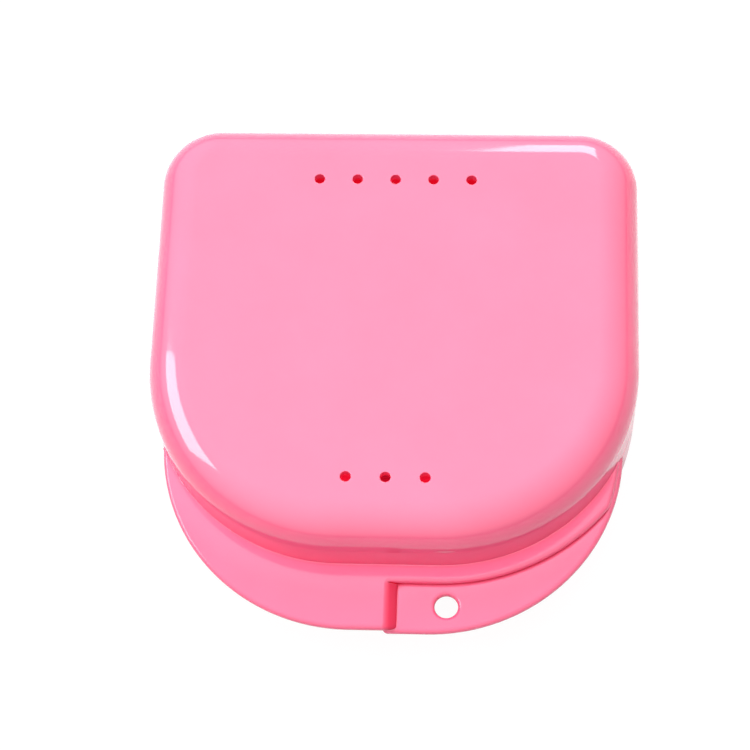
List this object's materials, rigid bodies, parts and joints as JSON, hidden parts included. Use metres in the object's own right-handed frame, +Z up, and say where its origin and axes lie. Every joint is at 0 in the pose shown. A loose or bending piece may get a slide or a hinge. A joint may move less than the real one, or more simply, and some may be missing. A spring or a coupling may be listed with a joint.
{
  "type": "mouthguard with case",
  "caption": "Moulded sports mouthguard with a gel lining, loose in a rounded hinged plastic case with air holes, thumb flanges and a lanyard hole.",
  "frame": {"origin": "on the underside of the case, on its plane of symmetry, midway between the front edge of the thumb flange and the back of the hinge", "axes": "+X to the right seen from the front, +Y to the back (the hinge side), +Z up out of the lid"},
  "size_m": [0.08, 0.0888, 0.028],
  "materials": {
    "case_plastic": "glossy injection-moulded polypropylene",
    "pin_steel": "plain drawn wire",
    "guard_rubber": "satin moulded rubber",
    "guard_gel": "soft glossy gel",
    "guard_pad": "satin moulded rubber"
  },
  "bodies": {
    "case_base": {"case_base": "case_plastic", "left_hinge_pin": "pin_steel", "right_hinge_pin": "pin_steel"},
    "case_lid": {"case_lid": "case_plastic"},
    "mouthguard": {"guard_shell": "guard_rubber", "guard_gel_liner": "guard_gel", "guard_left_bite_pad": "guard_pad", "guard_right_bite_pad": "guard_pad"}
  },
  "joints": [
    {"name": "lid_hinge", "type": "hinge", "parent": "case_base", "child": "case_lid", "pos_m": [0, 0.04265, 0.014], "axis": [-1, 0, 0], "range_deg": [0, 180]},
    {"name": "guard_lift", "type": "slide", "parent": "case_base", "child": "mouthguard", "axis": [0, 0, 1], "range_m": [0, 0.005]}
  ]
}
